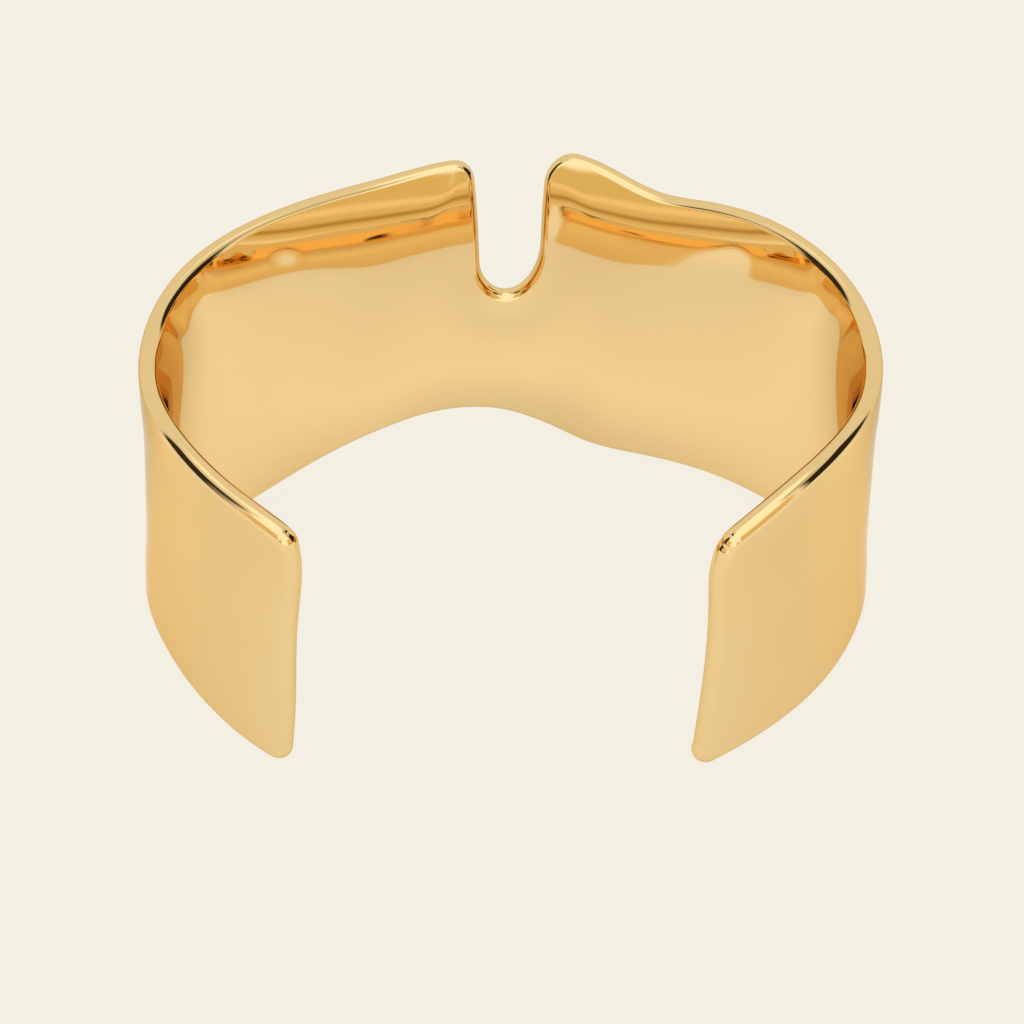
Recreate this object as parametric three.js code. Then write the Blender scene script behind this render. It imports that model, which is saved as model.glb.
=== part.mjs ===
// Open cuff bracelet: one curved band of polished gold sheet with fully rounded
// rims. Millimetres, +Z up. The gap between the two ends faces -Y, and the slot
// in the upper edge is at the back, on the +Y side. The origin is at the middle
// of the overall box, on the floor under the lowest points of the lower rim.
//
// Every place on the band is named by an angle round the wrist and a height.
// The angle is 0 at the back (+Y), negative on the -X side, positive on +X.
import * as THREE from 'three';

// ---------------------------------------------------------------- named sizes
const FOOT_Z = 1;              // height at which the foot radii below are measured
const CROWN_Z = 28;            // height at which the crown radii below are measured
const FOOT_BEND = 11;          // below this height the wall bends towards its foot lean
const BEND_POWER = 1.4;        // how softly both bends set in

const RIM_HALF_SIDE = 0.85;    // half the sheet thickness = rim radius, back and sides
const RIM_HALF_END = 1.0;      // the same near the two ends of the band
const THICKEN_FROM = 95;       // degrees from the back where the thickening starts
const THICKEN_TO = 128;        // and where it is complete
const SWELL = 0.28;            // how much the half thickness grows away from the rims
const SWELL_WIDTH = 4.5;       // over this width

// wall sections: how far the middle of the sheet is from the wrist axis at the
// foot and at the crown, how the wall leans there (degrees, + is outward), and
// the height above which it bends towards the crown lean
const SECTIONS = [
  // deg   footR  crownR footLean crownLean bendZ
  [-150, 27.09, 25.90, -8.0, 8.0, 15.0],
  [-125, 28.89, 27.45, -8.0, 8.0, 15.0],
  [-105, 30.33, 30.01, -8.0, 8.0, 15.0],
  [-90, 31.12, 31.06, -8.0, 8.0, 17.5],
  [-70, 26.26, 29.71, -6.3, 12.0, 22.0],
  [-50, 22.06, 25.95, -4.8, 26.0, 22.2],
  [-37, 19.54, 24.64, -4.0, 30.5, 21.3],
  [-24, 18.86, 24.21, -3.4, 34.5, 21.2],
  [-12, 18.82, 24.35, -3.1, 38.0, 21.2],
  [0, 18.76, 24.35, -3.0, 38.0, 21.2],
  [12, 18.83, 24.40, -3.1, 38.0, 21.2],
  [24, 18.51, 24.20, -3.4, 34.5, 21.2],
  [37, 19.44, 24.56, -4.0, 30.5, 21.3],
  [50, 21.52, 25.94, -4.8, 26.0, 22.2],
  [70, 26.11, 29.64, -6.3, 12.0, 22.0],
  [90, 30.36, 31.10, -8.0, 8.0, 17.5],
  [105, 29.73, 29.97, -8.0, 8.0, 15.0],
  [125, 27.79, 27.45, -8.0, 8.0, 15.0],
  [150, 25.87, 25.89, -8.0, 8.0, 15.0],
];

// upper edge, height of the middle line of the rim
const UPPER_EDGE = [
  // deg    z
  [-150, 22.11], [-135, 26.22], [-120, 27.28], [-105, 28.02], [-90, 27.47],
  [-70, 28.12], [-50, 28.44], [-30, 27.78], [-13, 27.66], [0, 27.72],
  [13, 28.16], [20, 27.86], [27, 27.39], [34, 27.26], [42, 27.84],
  [50, 28.45], [70, 28.28], [90, 27.40], [105, 28.08], [120, 28.01],
  [135, 26.26], [150, 24.00],
];

// lower edge: two feet at the back, two at the ends, and an arch between them
const LOWER_EDGE = [
  // deg    z
  [-150, 1.02], [-135, 1.03], [-120, 1.09], [-105, 1.05], [-90, 1.66],
  [-75, 0.80], [-60, 1.04], [-50, 2.14], [-40, 3.80], [-30, 4.47],
  [-20, 4.31], [-10, 3.92], [0, 3.21], [10, 1.81], [16, 1.17],
  [22, 0.85], [28, 0.81], [36, 0.88], [46, 0.97], [60, 0.89],
  [75, 0.85], [90, 1.93], [105, 1.18], [120, 1.12], [135, 1.27],
  [150, 0.89],
];

// the two ends of the band, middle line of the rim
const ENDS = [
  // z    leftDeg  rightDeg
  [-2, -135.6, 142.6],
  [2.2, -135.4, 140.65],
  [5.6, -135.2, 139.2],
  [10.2, -134.65, 137.75],
  [15.0, -134.2, 136.9],
  [18.8, -134.4, 136.7],
  [23.6, -134.8, 136.65],
  [26.0, -134.55, 135.6],
  [30, -134.4, 133.6],
];
const END_CORNER = 0.45;       // corner radius of that middle line, upper and lower

// slot in the upper edge
const SLOT_LEFT = -9.8;       // degrees, middle line of the left side's rim
const SLOT_RIGHT = 9.35;       // degrees, the right side's
const SLOT_FLOOR = 14.87;      // height of the middle line at the bottom
const SLOT_LOWEST = -1.2;      // degrees, where that bottom is
const LEFT_SHOULDER = 19.0;    // height where the straight left side begins
const RIGHT_SHOULDER = 21.3;   // and the straight right side
const LEFT_PEAK_RADIUS = 0.8;  // rounding of the peak left of the slot, mm
const RIGHT_PEAK_RADIUS = 1.7; // and of the peak right of it

// how finely the faces are cut
const EDGE_STEP = 1.55;        // along a rim
const FACE_STEP = 2.3;         // across the sheet
const RIM_STRIPS = 6;          // round half a rim

const GOLD = new THREE.Color().setRGB(0.87, 0.66, 0.33, THREE.SRGBColorSpace);

// ------------------------------------------------------------------ utilities
const rad = (d) => (d * Math.PI) / 180;
const lerp = (a, b, t) => a + (b - a) * t;

// natural cubic spline through one column of a table against another
function spline(table, from, to) {
  const x = table.map((row) => row[from]);
  const y = table.map((row) => row[to]);
  const n = x.length;
  const m = new Array(n).fill(0);
  const c = new Array(n).fill(0);
  const d = new Array(n).fill(0);
  for (let i = 1; i < n - 1; i += 1) {
    const h0 = x[i] - x[i - 1];
    const h1 = x[i + 1] - x[i];
    const rhs = 6 * ((y[i + 1] - y[i]) / h1 - (y[i] - y[i - 1]) / h0);
    const w = 2 * (h0 + h1) - h0 * c[i - 1];
    c[i] = h1 / w;
    d[i] = (rhs - h0 * d[i - 1]) / w;
  }
  for (let i = n - 2; i > 0; i -= 1) m[i] = d[i] - c[i] * m[i + 1];
  return (v) => {
    let i = 0;
    while (i < n - 2 && v > x[i + 1]) i += 1;
    const h = x[i + 1] - x[i];
    const a = (x[i + 1] - v) / h;
    const b = (v - x[i]) / h;
    return a * y[i] + b * y[i + 1]
      + ((a * a * a - a) * m[i] + (b * b * b - b) * m[i + 1]) * (h * h) / 6;
  };
}

const footR = spline(SECTIONS, 0, 1);
const crownR = spline(SECTIONS, 0, 2);
const footLean = spline(SECTIONS, 0, 3);
const crownLean = spline(SECTIONS, 0, 4);
const bendZ = spline(SECTIONS, 0, 5);
const upperEdge = spline(UPPER_EDGE, 0, 1);
const lowerEdge = spline(LOWER_EDGE, 0, 1);
const leftEnd = spline(ENDS, 0, 1);
const rightEnd = spline(ENDS, 0, 2);

// distance of the sheet's middle from the wrist axis: straight between the two
// bend heights, and curving to the foot lean below and to the crown lean above
function wallRadius(deg, z) {
  const high = CROWN_Z - bendZ(deg);
  const low = FOOT_BEND - FOOT_Z;
  const crownSlope = Math.tan(rad(crownLean(deg)));
  const footSlope = Math.tan(rad(footLean(deg)));
  const e = BEND_POWER + 1;
  const slope = (crownR(deg) - footR(deg) - (crownSlope * high + footSlope * low) / e)
    / (CROWN_Z - FOOT_Z - (high + low) / e);
  const above = Math.max((z - CROWN_Z + high) / high, 0) ** e;
  const below = 1 - Math.max((FOOT_BEND - z) / low, 0) ** e;
  return footR(deg) + slope * (z - FOOT_Z)
    + ((crownSlope - slope) * high * above) / e
    + ((footSlope - slope) * low * below) / e;
}

function wallPoint(deg, z) {
  const r = wallRadius(deg, z);
  return new THREE.Vector3(r * Math.sin(rad(deg)), r * Math.cos(rad(deg)), z);
}

// outward normal of the sheet's middle surface
function wallNormal(deg, z) {
  const along = wallPoint(deg + 0.05, z).sub(wallPoint(deg - 0.05, z));
  const up = wallPoint(deg, z + 0.02).sub(wallPoint(deg, z - 0.02));
  return up.cross(along).normalize();
}

function rimRadius(deg) {
  const t = Math.min(1, Math.max(0, (Math.abs(deg) - THICKEN_FROM) / (THICKEN_TO - THICKEN_FROM)));
  return lerp(RIM_HALF_SIDE, RIM_HALF_END, t * t * (3 - 2 * t));
}

// --------------------------------------------------- outline of the middle line
// Points are [deg, z]. perDeg turns millimetres along the band into degrees.
const perDeg = (deg, z) => 180 / Math.PI / wallRadius(deg, z);

// rounded corner at [deg, z], coming from direction a and leaving towards b,
// both unit steps in [mm along the band, mm up]
function corner(deg, z, a, b, radius, count) {
  const k = perDeg(deg, z);
  const points = [];
  const start = [-a[0] * radius, -a[1] * radius];
  const end = [b[0] * radius, b[1] * radius];
  for (let i = 0; i <= count; i += 1) {
    const q = (i / count) * (Math.PI / 2);
    const u = 1 - Math.sin(q);
    const v = 1 - Math.cos(q);
    points.push([deg + (start[0] * u + end[0] * v) * k, z + start[1] * u + end[1] * v]);
  }
  return points;
}

function run(from, to, at, step) {
  const count = Math.max(1, Math.ceil(Math.abs(to - from) / step));
  const points = [];
  for (let i = 1; i < count; i += 1) points.push(at(lerp(from, to, i / count)));
  return points;
}

const RIGHT = [1, 0];
const LEFT = [-1, 0];
const UP = [0, 1];
const DOWN = [0, -1];

function outline() {
  const step = 0.25;            // fine pass, thinned to EDGE_STEP afterwards
  const topLeft = leftEnd(27);
  const topRight = rightEnd(27);
  const footLeft = leftEnd(1);
  const footRight = rightEnd(1);
  const parts = [
    // upper edge from the left end to the slot
    corner(topLeft, upperEdge(topLeft), UP, RIGHT, END_CORNER, 6),
    run(topLeft + 1.2, SLOT_LEFT - 2.2, (d) => [d, upperEdge(d)], step),
    corner(SLOT_LEFT, upperEdge(SLOT_LEFT), RIGHT, DOWN, LEFT_PEAK_RADIUS, 8),
    run(upperEdge(SLOT_LEFT) - 1.1, LEFT_SHOULDER, (z) => [SLOT_LEFT, z], step),
    // round bottom of the slot
    run(180, 360, (q) => {
      const [side, shoulder] = q < 270 ? [SLOT_LEFT, LEFT_SHOULDER] : [SLOT_RIGHT, RIGHT_SHOULDER];
      return [SLOT_LOWEST + Math.abs(side - SLOT_LOWEST) * Math.cos(rad(q)),
        shoulder + (shoulder - SLOT_FLOOR) * Math.sin(rad(q))];
    }, 4),
    run(RIGHT_SHOULDER, upperEdge(SLOT_RIGHT + 3) - 1.85, (z) => [SLOT_RIGHT, z], step),
    corner(SLOT_RIGHT, upperEdge(SLOT_RIGHT + 3), UP, RIGHT, RIGHT_PEAK_RADIUS, 8),
    // upper edge from the slot to the right end
    run(SLOT_RIGHT + 4.4, topRight - 1.2, (d) => [d, upperEdge(d)], step),
    corner(topRight, upperEdge(topRight), RIGHT, DOWN, END_CORNER, 6),
    run(upperEdge(topRight) - 0.8, lowerEdge(footRight) + 0.8, (z) => [rightEnd(z), z], step),
    // lower edge back to the left end
    corner(footRight, lowerEdge(footRight), DOWN, LEFT, END_CORNER, 6),
    run(footRight - 1.2, footLeft + 1.2, (d) => [d, lowerEdge(d)], step),
    corner(footLeft, lowerEdge(footLeft), LEFT, UP, END_CORNER, 6),
    run(lowerEdge(footLeft) + 0.8, upperEdge(topLeft) - 0.8, (z) => [leftEnd(z), z], step),
  ];
  return parts.flat();
}

// keep corners as they are, and spread the rest at an even step along the rim
function thin(points, step) {
  const at = points.map(([deg, z]) => wallPoint(deg, z));
  const n = points.length;
  const kept = [];
  let since = Infinity;
  for (let i = 0; i < n; i += 1) {
    const before = at[i].clone().sub(at[(i + n - 1) % n]);
    const after = at[(i + 1) % n].clone().sub(at[i]);
    since += before.length();
    const turn = before.length() > 1e-9 ? before.angleTo(after) : 0;
    const local = turn > 0.12 ? 0.28 : step;
    if (since >= local) {
      kept.push(points[i]);
      since = 0;
    }
  }
  if (at[0].distanceTo(wallPoint(...kept[kept.length - 1])) < 0.2) kept.pop();
  return kept;
}

// --------------------------------------------------------------- triangulation
// Everything below works on the flattened band: s is the length along the wall
// at half height, so triangles come out with even sides.
const S_STEP = 0.5;
const S_FROM = -150;
const lengthTable = (() => {
  const sums = [0];
  for (let d = S_FROM; d < 150; d += S_STEP) {
    sums.push(sums[sums.length - 1] + wallPoint(d, 14.5).distanceTo(wallPoint(d + S_STEP, 14.5)));
  }
  return sums;
})();
function toLength(deg) {
  const f = (deg - S_FROM) / S_STEP;
  const i = Math.min(lengthTable.length - 2, Math.max(0, Math.floor(f)));
  return lerp(lengthTable[i], lengthTable[i + 1], f - i);
}
function toDegrees(s) {
  let i = 0;
  while (i < lengthTable.length - 2 && lengthTable[i + 1] < s) i += 1;
  return S_FROM + S_STEP * (i + (s - lengthTable[i]) / (lengthTable[i + 1] - lengthTable[i]));
}

function inside(loop, s, z) {
  let hit = false;
  for (let i = 0, j = loop.length - 1; i < loop.length; j = i, i += 1) {
    const [a, b] = loop[i];
    const [c, d] = loop[j];
    if ((b > z) !== (d > z) && s < ((c - a) * (z - b)) / (d - b) + a) hit = !hit;
  }
  return hit;
}

function clearance(loop, s, z) {
  let best = Infinity;
  for (let i = 0, j = loop.length - 1; i < loop.length; j = i, i += 1) {
    const [ax, ay] = loop[j];
    const [bx, by] = loop[i];
    const l2 = (bx - ax) ** 2 + (by - ay) ** 2;
    const t = Math.min(1, Math.max(0, ((s - ax) * (bx - ax) + (z - ay) * (by - ay)) / l2));
    best = Math.min(best, Math.hypot(s - ax - t * (bx - ax), z - ay - t * (by - ay)));
  }
  return best;
}

// plain incremental Delaunay triangulation
function delaunay(points) {
  const all = points.slice();
  const n = points.length;
  all.push([-2000, -1500], [2500, -1500], [100, 3000]);
  const circle = (a, b, c) => {
    const [ax, ay] = all[a];
    const bx = all[b][0] - ax;
    const by = all[b][1] - ay;
    const cx = all[c][0] - ax;
    const cy = all[c][1] - ay;
    const d = 2 * (bx * cy - by * cx);
    const ux = (cy * (bx * bx + by * by) - by * (cx * cx + cy * cy)) / d;
    const uy = (bx * (cx * cx + cy * cy) - cx * (bx * bx + by * by)) / d;
    return { a, b, c, x: ax + ux, y: ay + uy, r2: ux * ux + uy * uy };
  };
  let tris = [circle(n, n + 1, n + 2)];
  for (let p = 0; p < n; p += 1) {
    const [x, y] = all[p];
    const edges = new Map();
    const keep = [];
    for (const t of tris) {
      if ((x - t.x) ** 2 + (y - t.y) ** 2 < t.r2 * (1 - 1e-12)) {
        for (const [i, j] of [[t.a, t.b], [t.b, t.c], [t.c, t.a]]) {
          const back = `${j},${i}`;
          if (edges.has(back)) edges.delete(back);
          else edges.set(`${i},${j}`, [i, j]);
        }
      } else keep.push(t);
    }
    for (const [i, j] of edges.values()) keep.push(circle(i, j, p));
    tris = keep;
  }
  return tris.filter((t) => t.a < n && t.b < n && t.c < n).map((t) => [t.a, t.b, t.c]);
}

// ------------------------------------------------------------------- the band
function cuffGeometry() {
  const rim = thin(outline(), EDGE_STEP);
  const loop = rim.map(([deg, z]) => [toLength(deg), z]);
  const sheet = loop.slice();
  const low = toLength(-142);
  const high = toLength(147);
  const rowStep = FACE_STEP * Math.sqrt(3) / 2;
  for (let row = 0, z = 0.5; z < 30; row += 1, z += rowStep) {
    for (let s = low + (row % 2) * FACE_STEP / 2; s < high; s += FACE_STEP) {
      if (inside(loop, s, z) && clearance(loop, s, z) > 0.62 * EDGE_STEP) sheet.push([s, z]);
    }
  }
  const faces = delaunay(sheet).filter(([a, b, c]) => {
    const s = (sheet[a][0] + sheet[b][0] + sheet[c][0]) / 3;
    const z = (sheet[a][1] + sheet[b][1] + sheet[c][1]) / 3;
    return inside(loop, s, z);
  });
  const edgeUse = new Set();
  for (const f of faces) for (let k = 0; k < 3; k += 1) edgeUse.add(`${f[k]},${f[(k + 1) % 3]}`);
  const m = loop.length;
  for (let i = 0; i < m; i += 1) {
    const j = (i + 1) % m;
    if (edgeUse.has(`${i},${j}`) === edgeUse.has(`${j},${i}`)) {
      throw new Error(`outline step ${i} at ${rim[i]} is not an edge of the sheet`);
    }
  }

  // both skins of the sheet, a little further apart away from the rims
  const count = sheet.length;
  const outer = [];
  const inner = [];
  const normals = [];
  for (let i = 0; i < count; i += 1) {
    const deg = i < m ? rim[i][0] : toDegrees(sheet[i][0]);
    const z = sheet[i][1];
    const p = wallPoint(deg, z);
    const normal = wallNormal(deg, z);
    const inward = i < m ? 1 : Math.max(0, 1 - clearance(loop, sheet[i][0], z) / SWELL_WIDTH);
    const h = rimRadius(deg) + SWELL * (1 - inward * inward);
    outer.push(p.clone().addScaledVector(normal, h));
    inner.push(p.clone().addScaledVector(normal, -h));
    normals.push(normal);
  }
  const points = [...outer, ...inner];
  const index = [];
  for (const [a, b, c] of faces) {
    index.push(a, c, b);
    index.push(count + a, count + b, count + c);
  }

  // half-round rim between the two skins, along the whole outline
  const rings = [];
  for (let i = 0; i < m; i += 1) {
    const here = wallPoint(rim[i][0], rim[i][1]);
    const back = wallPoint(...rim[(i + m - 1) % m]);
    const next = wallPoint(...rim[(i + 1) % m]);
    const u = here.clone().sub(back).normalize();
    const v = next.clone().sub(here).normalize();
    const tangent = u.add(v).normalize();
    const out = tangent.cross(normals[i]);
    out.addScaledVector(normals[i], -out.dot(normals[i])).normalize();
    const h = rimRadius(rim[i][0]);
    const ring = [i];
    for (let k = 1; k < RIM_STRIPS; k += 1) {
      const q = Math.PI * (0.5 - k / RIM_STRIPS);
      ring.push(points.length);
      points.push(here.clone()
        .addScaledVector(out, h * Math.cos(q))
        .addScaledVector(normals[i], h * Math.sin(q)));
    }
    ring.push(count + i);
    rings.push(ring);
  }
  for (let i = 0; i < m; i += 1) {
    const a = rings[i];
    const b = rings[(i + 1) % m];
    for (let k = 0; k < RIM_STRIPS; k += 1) {
      index.push(a[k], b[k + 1], b[k]);
      index.push(a[k], a[k + 1], b[k + 1]);
    }
  }

  const box = new THREE.Box3().setFromPoints(points);
  const shift = new THREE.Vector3(-(box.min.x + box.max.x) / 2, -(box.min.y + box.max.y) / 2, -box.min.z);
  const geometry = new THREE.BufferGeometry();
  geometry.setAttribute('position', new THREE.Float32BufferAttribute(
    points.flatMap((p) => [p.x + shift.x, p.y + shift.y, p.z + shift.z]), 3));
  geometry.setIndex(index);
  geometry.computeVertexNormals();
  return geometry;
}

const cuff = new THREE.Mesh(
  cuffGeometry(),
  new THREE.MeshStandardMaterial({ color: GOLD, metalness: 1, roughness: 0.12 }),
);
cuff.name = 'cuff';

const part = new THREE.Group();
part.name = 'cuff_bracelet';
part.add(cuff);

export default part;
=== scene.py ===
import math

import bpy
import numpy as np
from mathutils import Matrix, Vector
from mathutils.geometry import delaunay_2d_cdt


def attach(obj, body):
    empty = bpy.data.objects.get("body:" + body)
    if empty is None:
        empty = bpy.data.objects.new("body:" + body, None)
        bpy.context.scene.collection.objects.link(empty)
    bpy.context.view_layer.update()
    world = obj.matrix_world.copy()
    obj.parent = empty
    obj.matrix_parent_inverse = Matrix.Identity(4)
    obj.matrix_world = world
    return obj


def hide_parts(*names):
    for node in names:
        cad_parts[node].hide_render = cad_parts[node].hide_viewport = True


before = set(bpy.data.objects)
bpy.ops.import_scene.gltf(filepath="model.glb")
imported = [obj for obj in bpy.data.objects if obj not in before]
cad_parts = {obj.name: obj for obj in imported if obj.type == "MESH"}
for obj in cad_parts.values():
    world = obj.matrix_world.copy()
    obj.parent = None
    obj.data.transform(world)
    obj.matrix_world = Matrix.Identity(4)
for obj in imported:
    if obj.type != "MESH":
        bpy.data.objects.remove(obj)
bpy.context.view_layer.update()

# ---------------------------------------------------------------------------
# The cuff, drawn again with fine faces and exact surface normals. Sizes are in
# millimetres here and the mesh is scaled to metres when it is made. A place on
# the band is an angle round the wrist (0 at the back, negative on -X) and a
# height, as in the solid.
# ---------------------------------------------------------------------------
FOOT_Z = 1.0
CROWN_Z = 28.0
FOOT_BEND = 11.0
BEND_POWER = 1.4
RIM_HALF_SIDE = 0.85
RIM_HALF_END = 1.0
THICKEN_FROM = 95.0
THICKEN_TO = 128.0
SWELL = 0.28          # how much the half thickness grows away from the rims
SWELL_WIDTH = 4.5     # over this width

SECTIONS = [
    # deg   footR  crownR footLean crownLean bendZ
    (-150, 27.09, 25.90, -8.0, 8.0, 15.0),
    (-125, 28.89, 27.45, -8.0, 8.0, 15.0),
    (-105, 30.33, 30.01, -8.0, 8.0, 15.0),
    (-90, 31.12, 31.06, -8.0, 8.0, 17.5),
    (-70, 26.26, 29.71, -6.3, 12.0, 22.0),
    (-50, 22.06, 25.95, -4.8, 26.0, 22.2),
    (-37, 19.54, 24.64, -4.0, 30.5, 21.3),
    (-24, 18.86, 24.21, -3.4, 34.5, 21.2),
    (-12, 18.82, 24.35, -3.1, 38.0, 21.2),
    (0, 18.76, 24.35, -3.0, 38.0, 21.2),
    (12, 18.83, 24.40, -3.1, 38.0, 21.2),
    (24, 18.51, 24.20, -3.4, 34.5, 21.2),
    (37, 19.44, 24.56, -4.0, 30.5, 21.3),
    (50, 21.52, 25.94, -4.8, 26.0, 22.2),
    (70, 26.11, 29.64, -6.3, 12.0, 22.0),
    (90, 30.36, 31.10, -8.0, 8.0, 17.5),
    (105, 29.73, 29.97, -8.0, 8.0, 15.0),
    (125, 27.79, 27.45, -8.0, 8.0, 15.0),
    (150, 25.87, 25.89, -8.0, 8.0, 15.0),
]
UPPER_EDGE = [
    # deg    z
    (-150, 22.11), (-135, 26.22), (-120, 27.28), (-105, 28.02), (-90, 27.47),
    (-70, 28.12), (-50, 28.44), (-30, 27.78), (-13, 27.66), (0, 27.72),
    (13, 28.16), (20, 27.86), (27, 27.39), (34, 27.26), (42, 27.84),
    (50, 28.45), (70, 28.28), (90, 27.40), (105, 28.08), (120, 28.01),
    (135, 26.26), (150, 24.00),
]
LOWER_EDGE = [
    # deg    z
    (-150, 1.02), (-135, 1.03), (-120, 1.09), (-105, 1.05), (-90, 1.66),
    (-75, 0.80), (-60, 1.04), (-50, 2.14), (-40, 3.80), (-30, 4.47),
    (-20, 4.31), (-10, 3.92), (0, 3.21), (10, 1.81), (16, 1.17),
    (22, 0.85), (28, 0.81), (36, 0.88), (46, 0.97), (60, 0.89),
    (75, 0.85), (90, 1.93), (105, 1.18), (120, 1.12), (135, 1.27),
    (150, 0.89),
]
ENDS = [
    # z    leftDeg  rightDeg
    (-2, -135.6, 142.6),
    (2.2, -135.4, 140.65),
    (5.6, -135.2, 139.2),
    (10.2, -134.65, 137.75),
    (15.0, -134.2, 136.9),
    (18.8, -134.4, 136.7),
    (23.6, -134.8, 136.65),
    (26.0, -134.55, 135.6),
    (30, -134.4, 133.6),
]
END_CORNER = 0.45
SLOT_LEFT = -9.8
SLOT_RIGHT = 9.35
SLOT_FLOOR = 14.87
SLOT_LOWEST = -1.2
LEFT_SHOULDER = 19.0
RIGHT_SHOULDER = 21.3
LEFT_PEAK_RADIUS = 0.8
RIGHT_PEAK_RADIUS = 1.7

EDGE_STEP = 0.36      # along a rim
CORNER_STEP = 0.10    # along a rim where it turns sharply
FACE_STEP = 0.56      # across the sheet
RIM_STRIPS = 14       # round half a rim


class Spline:
    """Natural cubic spline through one column of a table against the first."""

    def __init__(self, table, column):
        self.x = x = np.array([row[0] for row in table], float)
        self.y = y = np.array([row[column] for row in table], float)
        n = len(x)
        h = np.diff(x)
        a = np.eye(n)
        b = np.zeros(n)
        for i in range(1, n - 1):
            a[i, i - 1:i + 2] = h[i - 1], 2 * (h[i - 1] + h[i]), h[i]
            b[i] = 6 * ((y[i + 1] - y[i]) / h[i] - (y[i] - y[i - 1]) / h[i - 1])
        self.m = np.linalg.solve(a, b)

    def __call__(self, v):
        v = np.asarray(v, float)
        x, y, m = self.x, self.y, self.m
        i = np.clip(np.searchsorted(x, v, side="right") - 1, 0, len(x) - 2)
        h = x[i + 1] - x[i]
        a = (x[i + 1] - v) / h
        b = (v - x[i]) / h
        return (a * y[i] + b * y[i + 1]
                + ((a ** 3 - a) * m[i] + (b ** 3 - b) * m[i + 1]) * h * h / 6)


foot_r, crown_r, foot_lean, crown_lean, bend_z = (Spline(SECTIONS, c) for c in range(1, 6))
upper_edge = Spline(UPPER_EDGE, 1)
lower_edge = Spline(LOWER_EDGE, 1)
left_end = Spline(ENDS, 1)
right_end = Spline(ENDS, 2)


def wall_radius(deg, z):
    """A straight wall between FOOT_BEND and the bend height; past those two
    its slope runs off to the foot lean below and to the crown lean above."""
    z = np.asarray(z, float)
    high = CROWN_Z - bend_z(deg)
    low = FOOT_BEND - FOOT_Z
    crown_slope = np.tan(np.radians(crown_lean(deg)))
    foot_slope = np.tan(np.radians(foot_lean(deg)))
    e = BEND_POWER + 1
    slope = ((crown_r(deg) - foot_r(deg) - (crown_slope * high + foot_slope * low) / e)
             / (CROWN_Z - FOOT_Z - (high + low) / e))
    above = np.maximum((z - CROWN_Z + high) / high, 0) ** e
    below = 1 - np.maximum((FOOT_BEND - z) / low, 0) ** e
    return (foot_r(deg) + slope * (z - FOOT_Z)
            + (crown_slope - slope) * high / e * above
            + (foot_slope - slope) * low / e * below)


def wall_point(deg, z):
    r = wall_radius(deg, z)
    p = np.radians(deg)
    return np.stack([r * np.sin(p), r * np.cos(p), z + 0 * r], -1)


def unit(v):
    return v / np.linalg.norm(v, axis=-1, keepdims=True)


def wall_normal(deg, z):
    along = wall_point(deg + 0.02, z) - wall_point(deg - 0.02, z)
    up = wall_point(deg, z + 0.01) - wall_point(deg, z - 0.01)
    return unit(np.cross(up, along))


def rim_radius(deg):
    t = np.clip((np.abs(deg) - THICKEN_FROM) / (THICKEN_TO - THICKEN_FROM), 0, 1)
    return RIM_HALF_SIDE + (RIM_HALF_END - RIM_HALF_SIDE) * t * t * (3 - 2 * t)


# ------------------------------------------------- outline of the middle line
RIGHT, LEFT, UP, DOWN = (1, 0), (-1, 0), (0, 1), (0, -1)


def corner(deg, z, a, b, radius, count):
    k = 180 / math.pi / float(wall_radius(deg, z))
    points = []
    for i in range(count + 1):
        q = i / count * math.pi / 2
        u, v = 1 - math.sin(q), 1 - math.cos(q)
        points.append((deg + radius * (-a[0] * u + b[0] * v) * k,
                       z + radius * (-a[1] * u + b[1] * v)))
    return points


def run(start, stop, at, step):
    count = max(1, math.ceil(abs(stop - start) / step))
    return [at(start + (stop - start) * i / count) for i in range(1, count)]


def outline():
    step = 0.1
    top_left, top_right = float(left_end(27)), float(right_end(27))
    foot_left, foot_right = float(left_end(1)), float(right_end(1))
    up = lambda d: float(upper_edge(d))
    low = lambda d: float(lower_edge(d))

    def slot_bottom(q):
        side, shoulder = (SLOT_LEFT, LEFT_SHOULDER) if q < 270 else (SLOT_RIGHT, RIGHT_SHOULDER)
        return (SLOT_LOWEST + abs(side - SLOT_LOWEST) * math.cos(math.radians(q)),
                shoulder + (shoulder - SLOT_FLOOR) * math.sin(math.radians(q)))

    parts = [
        corner(top_left, up(top_left), UP, RIGHT, END_CORNER, 12),
        run(top_left + 1.2, SLOT_LEFT - 2.2, lambda d: (d, up(d)), step),
        corner(SLOT_LEFT, up(SLOT_LEFT), RIGHT, DOWN, LEFT_PEAK_RADIUS, 16),
        run(up(SLOT_LEFT) - 1.1, LEFT_SHOULDER, lambda z: (SLOT_LEFT, z), step),
        run(180, 360, slot_bottom, 1.5),
        run(RIGHT_SHOULDER, up(SLOT_RIGHT + 3) - 1.85, lambda z: (SLOT_RIGHT, z), step),
        corner(SLOT_RIGHT, up(SLOT_RIGHT + 3), UP, RIGHT, RIGHT_PEAK_RADIUS, 24),
        run(SLOT_RIGHT + 4.4, top_right - 1.2, lambda d: (d, up(d)), step),
        corner(top_right, up(top_right), RIGHT, DOWN, END_CORNER, 12),
        run(up(top_right) - 0.8, low(foot_right) + 0.8, lambda z: (float(right_end(z)), z), step),
        corner(foot_right, low(foot_right), DOWN, LEFT, END_CORNER, 12),
        run(foot_right - 1.2, foot_left + 1.2, lambda d: (d, low(d)), step),
        corner(foot_left, low(foot_left), LEFT, UP, END_CORNER, 12),
        run(low(foot_left) + 0.8, up(top_left) - 0.8, lambda z: (float(left_end(z)), z), step),
    ]
    return np.array([p for part in parts for p in part])


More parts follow.
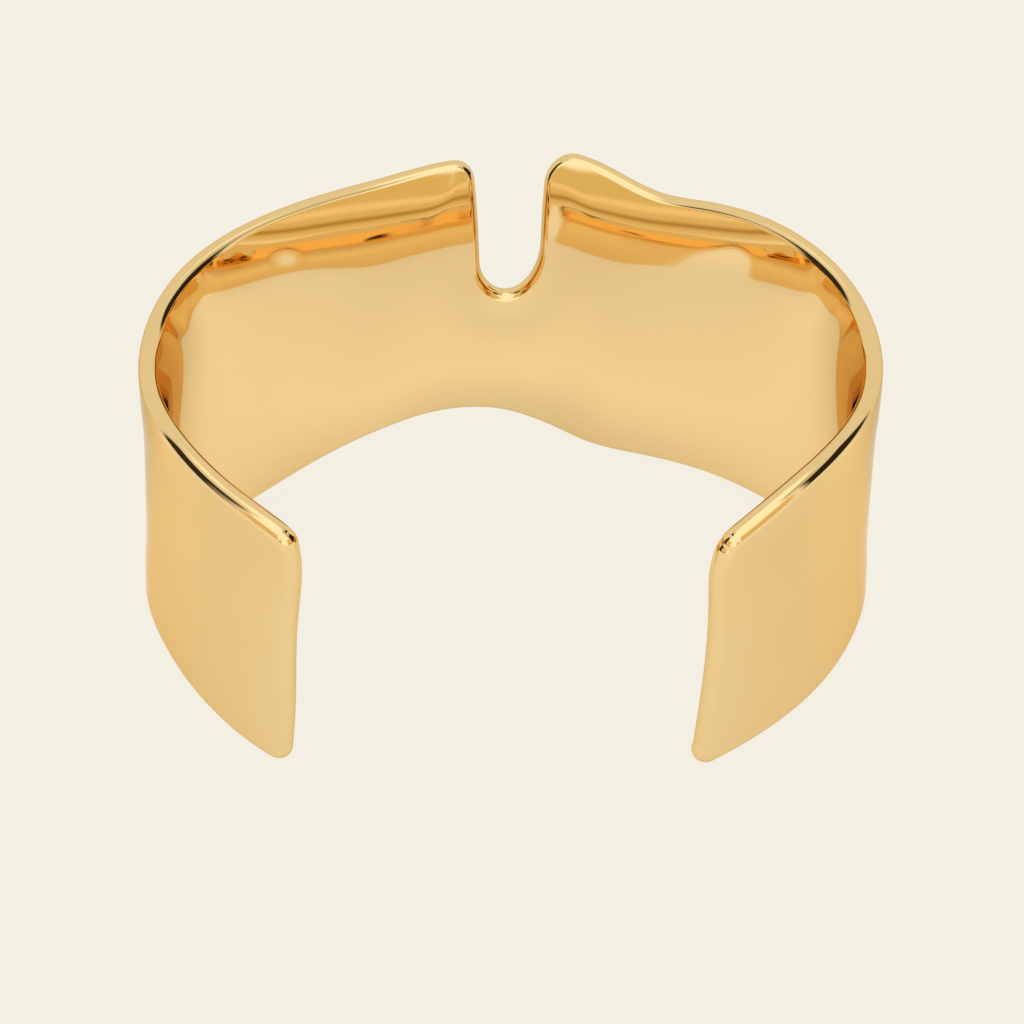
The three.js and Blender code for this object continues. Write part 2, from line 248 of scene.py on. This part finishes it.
def rim_distance(at, loop):
    """Smooth distance of flat points from the closed flat outline, and the
    direction in which it grows: like the distance itself near one stretch of
    the outline, and rounded off where two of them meet."""
    a, b = loop, np.roll(loop, -1, 0)
    middle = (a + b) / 2
    length = np.linalg.norm(b - a, axis=1)
    distance = np.empty(len(at))
    grows = np.empty((len(at), 2))
    for i in range(0, len(at), 2000):
        d = at[i:i + 2000, None] - middle
        r2 = (d ** 2).sum(-1)
        w = length / r2 ** 3
        total = w.sum(1)
        distance[i:i + 2000] = (0.375 * math.pi / total) ** 0.2
        g = (d * (w / r2)[..., None]).sum(1)
        grows[i:i + 2000] = g * (6 / 5 * distance[i:i + 2000] / total)[:, None]
    return distance, grows


def smooth_outline(points):
    """Even out the joins between the stretches and lay the points at the
    wanted steps, closer together where the rim turns sharply."""
    at = wall_point(points[:, 0], points[:, 1])
    closed = np.vstack([points, points[:1]])
    length = np.concatenate([[0], np.cumsum(np.linalg.norm(
        np.diff(np.vstack([at, at[:1]]), axis=0), axis=1))])
    total = length[-1]
    fine = np.arange(0, total, 0.03)
    deg = np.interp(fine, length, closed[:, 0])
    z = np.interp(fine, length, closed[:, 1])
    width = 9                       # 0.27 mm to either side
    kernel = np.hanning(2 * width + 1)
    kernel /= kernel.sum()
    wrap = lambda v: np.concatenate([v[-width:], v, v[:width]])
    deg = np.convolve(wrap(deg), kernel, "valid")
    z = np.convolve(wrap(z), kernel, "valid")
    at = wall_point(deg, z)
    tangent = unit(np.roll(at, -3, 0) - np.roll(at, 3, 0))
    turn = np.degrees(np.arccos(np.clip((np.roll(tangent, -3, 0) * np.roll(tangent, 3, 0)).sum(1), -1, 1)))
    reach = np.array([turn[np.arange(i - 14, i + 15) % len(turn)].max() for i in range(len(turn))])
    want = np.clip(EDGE_STEP - (EDGE_STEP - CORNER_STEP) * (reach - 1.0) / 6.0, CORNER_STEP, EDGE_STEP)
    kept, since = [], 1e9
    for i in range(len(fine)):
        since += 0.03
        if since >= want[i]:
            kept.append(i)
            since = 0.0
    if (len(fine) - kept[-1]) * 0.03 < 0.6 * want[0]:
        kept.pop()
    kept = np.array(kept)
    return deg[kept], z[kept], tangent[kept], deg, z


def make_cuff():
    rim_deg, rim_z, tangent, fine_deg, fine_z = smooth_outline(outline())
    table = np.arange(-150, 150.01, 0.25)
    at = wall_point(table, 14.5)
    lengths = np.concatenate([[0], np.cumsum(np.linalg.norm(np.diff(at, axis=0), axis=1))])
    to_length = lambda d: np.interp(d, table, lengths)
    to_degrees = lambda s: np.interp(s, lengths, table)

    loop = np.stack([to_length(rim_deg), rim_z], 1)
    m = len(loop)
    row = FACE_STEP * math.sqrt(3) / 2
    zs = np.arange(0.3, 31, row)
    grid = []
    for k, z in enumerate(zs):
        s = np.arange(to_length(-142), to_length(147), FACE_STEP) + (k % 2) * FACE_STEP / 2
        grid.append(np.stack([s, np.full_like(s, z)], 1))
    grid = np.concatenate(grid)
    a, b = loop, np.roll(loop, -1, 0)
    hit = np.zeros(len(grid), bool)
    near = np.full(len(grid), 1e9)
    for (ax, az), (bx, bz) in zip(a, b):
        cross = (bz > grid[:, 1]) != (az > grid[:, 1])
        if bz != az:
            hit ^= cross & (grid[:, 0] < (ax - bx) * (grid[:, 1] - bz) / (az - bz) + bx)
        l2 = (bx - ax) ** 2 + (bz - az) ** 2
        t = np.clip(((grid[:, 0] - ax) * (bx - ax) + (grid[:, 1] - az) * (bz - az)) / l2, 0, 1)
        near = np.minimum(near, (grid[:, 0] - ax - t * (bx - ax)) ** 2 + (grid[:, 1] - az - t * (bz - az)) ** 2)
    inner_points = grid[hit & (near > (0.72 * EDGE_STEP) ** 2)]
    flat = np.vstack([loop, inner_points])
    edges = [(i, (i + 1) % m) for i in range(m)]
    verts2, _, faces, vmap, _, _ = delaunay_2d_cdt(
        [Vector((float(p[0]), float(p[1]))) for p in flat], edges, [], 1, 1e-6)
    order = [o[0] for o in vmap]
    if len(verts2) != len(flat) or sorted(order) != list(range(len(flat))):
        raise RuntimeError("the flat outline crossed itself")
    faces = np.array([[order[i] for i in f] for f in faces])
    # all faces one way round in the flat drawing
    p, q, r = (flat[faces[:, i]] for i in range(3))
    area = (q[:, 0] - p[:, 0]) * (r[:, 1] - p[:, 1]) - (q[:, 1] - p[:, 1]) * (r[:, 0] - p[:, 0])
    faces[area < 0] = faces[area < 0][:, ::-1]
    faces = faces[np.abs(area) > 1e-9]

    deg = np.concatenate([rim_deg, to_degrees(inner_points[:, 0])])
    z = np.concatenate([rim_z, inner_points[:, 1]])
    middle = wall_point(deg, z)
    normal = wall_normal(deg, z)
    h = rim_radius(deg)
    n = len(deg)
    out = np.cross(tangent, normal[:m])
    out = unit(out - (out * normal[:m]).sum(1, keepdims=True) * normal[:m])

    # the sheet swells from the rims inwards; steep is the slope of each skin
    # against the middle surface, towards the middle of the band
    fine_loop = np.stack([to_length(fine_deg), fine_z], 1)[::3]
    distance, grows = rim_distance(inner_points, fine_loop)
    inward = np.clip(1 - distance / SWELL_WIDTH, 0, 1)
    h[m:] += SWELL * (1 - inward ** 2)
    flat_slope = 2 * SWELL / SWELL_WIDTH * inward[:, None] * grows
    along = wall_point(deg[m:] + 0.02, z[m:]) - wall_point(deg[m:] - 0.02, z[m:])
    up = wall_point(deg[m:], z[m:] + 0.01) - wall_point(deg[m:], z[m:] - 0.01)
    # components of the slope on the two surface directions
    spread = (to_length(deg[m:] + 0.02) - to_length(deg[m:] - 0.02))[:, None]
    e1, e2 = along / spread, up / 0.02
    g11, g12, g22 = ((p * q).sum(1) for p, q in ((e1, e1), (e1, e2), (e2, e2)))
    det = g11 * g22 - g12 ** 2
    c1 = (g22 * flat_slope[:, 0] - g12 * flat_slope[:, 1]) / det
    c2 = (g11 * flat_slope[:, 1] - g12 * flat_slope[:, 0]) / det
    steep = c1[:, None] * e1 + c2[:, None] * e2
    tip = math.atan(2 * SWELL / SWELL_WIDTH)      # the same slope at the rim

    rim_way = [out * math.sin(tip) + s * normal[:m] * math.cos(tip) for s in (1, -1)]
    points, normals = [], []
    for s, way in zip((1, -1), rim_way):
        points.append(np.vstack([middle[:m] + way * h[:m, None],
                                 middle[m:] + s * normal[m:] * h[m:, None]]))
        normals.append(np.vstack([way, unit(s * normal[m:] - steep)]))
    tris = [faces[:, ::-1], faces + n]

    rings = [np.arange(m)]
    for k in range(1, RIM_STRIPS):
        q = (math.pi / 2 - tip) * (1 - 2 * k / RIM_STRIPS)
        way = out * math.cos(q) + normal[:m] * math.sin(q)
        rings.append(2 * n + (k - 1) * m + np.arange(m))
        points.append(middle[:m] + way * h[:m, None])
        normals.append(way)
    rings.append(n + np.arange(m))
    quads = []
    for low, high in zip(rings[:-1], rings[1:]):
        quads.append(np.stack([low, high, np.roll(high, -1), np.roll(low, -1)], 1))
    points = np.vstack(points)
    normals = np.vstack(normals)
    quads = np.vstack(quads)

    shift = np.array([(points[:, 0].min() + points[:, 0].max()) / 2,
                      (points[:, 1].min() + points[:, 1].max()) / 2, points[:, 2].min()])
    mesh = bpy.data.meshes.new("cuff_band")
    mesh.from_pydata(((points - shift) / 1000).tolist(), [],
                     np.vstack(tris).tolist() + quads.tolist())
    mesh.update()
    mesh.polygons.foreach_set("use_smooth", [True] * len(mesh.polygons))
    mesh.normals_split_custom_set_from_vertices(normals.tolist())
    return mesh, shift


cuff_mesh, SHIFT = make_cuff()
cuff = bpy.data.objects.new("cuff_band", cuff_mesh)
bpy.context.scene.collection.objects.link(cuff)
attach(cuff, "root")
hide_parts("cuff")


# ------------------------------------------------------------------ materials
def node(tree, kind, **sockets):
    n = tree.nodes.new(kind)
    for name, value in sockets.items():
        n.inputs[name.replace("_", " ")].default_value = value
    return n


def gold():
    mat = bpy.data.materials.new("polished_gold")
    mat.use_nodes = True
    tree = mat.node_tree
    shader = tree.nodes["Principled BSDF"]
    shader.inputs["Metallic"].default_value = 1.0
    shader.inputs["Specular Tint"].default_value = (0.88, 0.72, 0.50, 1)
    place = tree.nodes.new("ShaderNodeTexCoord")

    # faint clouding of the alloy and the polish, a few millimetres across
    cloud = node(tree, "ShaderNodeTexNoise", Scale=110.0, Detail=3.0, Roughness=0.5)
    tree.links.new(place.outputs["Object"], cloud.inputs["Vector"])
    tint = tree.nodes.new("ShaderNodeMix")
    tint.data_type = "RGBA"
    tint.inputs[6].default_value = (0.935, 0.698, 0.362, 1)
    tint.inputs[7].default_value = (0.925, 0.684, 0.348, 1)
    tree.links.new(cloud.outputs["Fac"], tint.inputs[0])
    tree.links.new(tint.outputs[2], shader.inputs["Base Color"])

    # a mirror polish with a trace of haze
    haze = node(tree, "ShaderNodeTexNoise", Scale=420.0, Detail=5.0, Roughness=0.62)
    tree.links.new(place.outputs["Object"], haze.inputs["Vector"])
    rough = tree.nodes.new("ShaderNodeMapRange")
    rough.inputs["From Min"].default_value = 0.3
    rough.inputs["From Max"].default_value = 0.75
    rough.inputs["To Min"].default_value = 0.03
    rough.inputs["To Max"].default_value = 0.07
    tree.links.new(haze.outputs["Fac"], rough.inputs["Value"])
    tree.links.new(rough.outputs["Result"], shader.inputs["Roughness"])

    # the slight unevenness that hand polishing leaves
    wave = node(tree, "ShaderNodeTexNoise", Scale=75.0, Detail=1.5, Roughness=0.4)
    tree.links.new(place.outputs["Object"], wave.inputs["Vector"])
    bump = node(tree, "ShaderNodeBump", Strength=0.04, Distance=0.0004)
    tree.links.new(wave.outputs["Fac"], bump.inputs["Height"])
    tree.links.new(bump.outputs["Normal"], shader.inputs["Normal"])
    return mat


cuff_mesh.materials.append(gold())

# ---------------------------------------------------------------------- stage
BACKDROP = (0.887, 0.855, 0.761)
PAINTED_FLOOR_LIGHT_AND_SHADE = [
    # y      light: painted light and shade in broad soft bands across the mirrored floor, front to back; the dim bands are painted shade of the cuff, the bright one is painted light across the cuff's middle
    (-0.070, 0.82),
    (-0.034, 0.78),
    (-0.014, 0.70),
    (0.003, 0.94),
    (0.015, 0.62),
    (0.030, 0.58),
    (0.070, 0.74),
]


def plane(name, height):
    mesh = bpy.data.meshes.new(name)
    s = 6.0
    mesh.from_pydata([(-s, -s, height), (s, -s, height), (s, s, height), (-s, s, height)], [], [(0, 1, 2, 3)])
    obj = bpy.data.objects.new(name, mesh)
    bpy.context.scene.collection.objects.link(obj)
    mat = bpy.data.materials.new(name)
    mat.use_nodes = True
    shader = mat.node_tree.nodes["Principled BSDF"]
    shader.inputs["Roughness"].default_value = 1.0
    shader.inputs["Specular IOR Level"].default_value = 0.0
    mesh.materials.append(mat)
    return obj, shader


def floor():
    """An evenly lit pale floor for the camera. For what the polished metal mirrors there is the same floor,
    with some real shade of the cuff on its faint lit part and painted bands of light and shade in its glow."""
    seen, shader = plane("floor", 0.0)
    shader.inputs["Base Color"].default_value = (0.05, 0.05, 0.045, 1)
    shader.inputs["Emission Color"].default_value = (*BACKDROP, 1)
    shader.inputs["Emission Strength"].default_value = 0.97
    seen.visible_glossy = False
    seen.visible_diffuse = False
    seen.visible_shadow = False
    mirrored, shader = plane("floor_mirrored", -0.0002)
    shader.inputs["Base Color"].default_value = (0.24, 0.23, 0.20, 1)
    shader.inputs["Emission Color"].default_value = (0.90, 0.875, 0.80, 1)
    mirrored.visible_camera = False
    tree = mirrored.data.materials[0].node_tree
    place = tree.nodes.new("ShaderNodeTexCoord")
    split = tree.nodes.new("ShaderNodeSeparateXYZ")
    tree.links.new(place.outputs["Object"], split.inputs[0])
    # painted light and shade: the glow of the mirrored floor rises and falls in bands from front to back
    depth = tree.nodes.new("ShaderNodeMapRange")
    depth.inputs["From Min"].default_value = PAINTED_FLOOR_LIGHT_AND_SHADE[0][0]
    depth.inputs["From Max"].default_value = PAINTED_FLOOR_LIGHT_AND_SHADE[-1][0]
    tree.links.new(split.outputs["Y"], depth.inputs["Value"])
    ramp = tree.nodes.new("ShaderNodeValToRGB")
    ramp.color_ramp.interpolation = "B_SPLINE"
    span = PAINTED_FLOOR_LIGHT_AND_SHADE[-1][0] - PAINTED_FLOOR_LIGHT_AND_SHADE[0][0]
    stops = ramp.color_ramp.elements
    while len(stops) < len(PAINTED_FLOOR_LIGHT_AND_SHADE):
        stops.new(0.5)
    for stop, (y, light) in zip(stops, PAINTED_FLOOR_LIGHT_AND_SHADE):
        stop.position = (y - PAINTED_FLOOR_LIGHT_AND_SHADE[0][0]) / span
        stop.color = (light, light, light, 1)
    tree.links.new(depth.outputs["Result"], ramp.inputs["Fac"])
    tree.links.new(ramp.outputs["Color"], shader.inputs["Emission Strength"])


floor()

scene = bpy.context.scene
scene.view_settings.view_transform = "Standard"
scene.view_settings.look = "None"
scene.view_settings.exposure = 0.0
scene.view_settings.gamma = 1.0

# The studio round the object, as soft panels on a pale room. The warm panels low at either side, and the dark
# and pale strips in them, are a painted reflection of the cuff's own far arm and its rim for the back of the
# band to mirror. Azimuth is 0 towards -Y and 90 towards +X, and elevation is above the horizon, in degrees. A
# panel hides the ones before it, with edges as soft as its last two angles.
ROOM = (0.83, 0.80, 0.69)
PANELS = [
    # name          azimuth from, to   elevation from, to  red   green blue  soft
    ("overhead",    -181, 181,         68, 130,            1.18, 1.20, 1.16, 10, 12),
    ("front",       -68, 64,           -20, 130,           1.16, 1.17, 1.12, 8, 8),
    # painted reflection: the next six panels stand in for the cuff's far arm and the dark and pale lines of its
    # rim as the back of the band mirrors them
    ("painted_arm_reflection_left",   -66, -24,          0, 38,              0.78, 0.60, 0.28, 8, 8),
    ("painted_arm_reflection_right",  24, 62,            0, 38,              0.78, 0.59, 0.26, 8, 8),
    ("painted_rim_reflection_dark_left",   -66, -24,          6, 9,               0.46, 0.26, 0.06, 8, 4),
    ("painted_rim_reflection_dark_right",  24, 62,            6, 9,               0.46, 0.26, 0.06, 8, 4),
    ("painted_rim_reflection_pale_left",   -66, -24,          14, 19,             0.95, 0.75, 0.44, 8, 4),
    ("painted_rim_reflection_pale_right",  24, 62,            14, 19,             0.95, 0.75, 0.44, 8, 4),
    ("right_fill",  56, 96,            46, 66,             0.62, 0.58, 0.48, 10, 8),
    ("flag_right",  68, 116,           -20, 46,            0.03, 0.02, 0.01, 8, 8),
    ("flag_left",   -98, -68,          -20, 50,            0.04, 0.03, 0.02, 8, 8),
]


def studio():
    world = bpy.data.worlds.new("studio")
    scene.world = world
    world.use_nodes = True
    tree = world.node_tree

    def math_node(kind, *values):
        n = tree.nodes.new("ShaderNodeMath")
        n.operation = kind
        for i, v in enumerate(values):
            if isinstance(v, (int, float)):
                n.inputs[i].default_value = v
            else:
                tree.links.new(v, n.inputs[i])
        return n.outputs[0]

    def soft_step(value, middle, width, rising):
        n = tree.nodes.new("ShaderNodeMapRange")
        n.interpolation_type = "SMOOTHSTEP"
        n.inputs["From Min"].default_value = middle - width / 2
        n.inputs["From Max"].default_value = middle + width / 2
        n.inputs["To Min"].default_value = 0.0 if rising else 1.0
        n.inputs["To Max"].default_value = 1.0 if rising else 0.0
        tree.links.new(value, n.inputs["Value"])
        return n.outputs["Result"]

    place = tree.nodes.new("ShaderNodeTexCoord")
    split = tree.nodes.new("ShaderNodeSeparateXYZ")
    tree.links.new(place.outputs["Generated"], split.inputs[0])
    x, y, z = split.outputs
    azimuth = math_node("DEGREES", math_node("ARCTAN2", x, math_node("MULTIPLY", y, -1.0)))
    elevation = math_node("DEGREES", math_node("ARCSINE", z))

    light = tree.nodes.new("ShaderNodeRGB")
    light.outputs[0].default_value = (*ROOM, 1)
    light = light.outputs[0]
    for name, az0, az1, el0, el1, red, green, blue, soft_az, soft_el in PANELS:
        mask = soft_step(elevation, el0, soft_el, True)
        if el1 < 90:
            mask = math_node("MULTIPLY", mask, soft_step(elevation, el1, soft_el, False))
        if az1 - az0 < 360:
            # angle away from the middle of the panel, the short way round
            away = math_node("ABSOLUTE", math_node("WRAP", math_node(
                "SUBTRACT", azimuth, (az0 + az1) / 2), 180.0, -180.0))
            mask = math_node("MULTIPLY", mask, soft_step(away, (az1 - az0) / 2, soft_az, False))
        mix = tree.nodes.new("ShaderNodeMix")
        mix.data_type = "RGBA"
        mix.label = name
        mix.inputs[7].default_value = (red, green, blue, 1)
        tree.links.new(mask, mix.inputs[0])
        tree.links.new(light, mix.inputs[6])
        light = mix.outputs[2]
    # behind everything the camera sees the same pale backdrop all round
    rays = tree.nodes.new("ShaderNodeLightPath")
    mix = tree.nodes.new("ShaderNodeMix")
    mix.data_type = "RGBA"
    mix.inputs[7].default_value = (*BACKDROP, 1)
    tree.links.new(rays.outputs["Is Camera Ray"], mix.inputs[0])
    tree.links.new(light, mix.inputs[6])
    light = mix.outputs[2]
    background = tree.nodes["Background"]
    background.inputs["Strength"].default_value = 1.0
    tree.links.new(light, background.inputs["Color"])


studio()

# --------------------------------------------------------------------- camera
ELEVATION = 48.0
DISTANCE = 0.750
FOCAL_PIXELS = 8612.4
AIM = (0.1284, 0.0, 9.1914)      # in the drawing's millimetres

camera_data = bpy.data.cameras.new("camera")
camera = bpy.data.objects.new("camera", camera_data)
scene.collection.objects.link(camera)
camera_data.sensor_width = 36.0
camera_data.sensor_fit = "HORIZONTAL"
camera_data.lens = FOCAL_PIXELS / 1024 * 36.0
camera_data.clip_start = 0.01
camera_data.clip_end = 50.0
aim = (Vector(AIM) - Vector(SHIFT)) / 1000
e = math.radians(ELEVATION)
back = Vector((0, -math.cos(e), math.sin(e)))
camera.location = aim + back * DISTANCE
camera.rotation_euler = back.to_track_quat("Z", "Y").to_euler()
scene.camera = camera
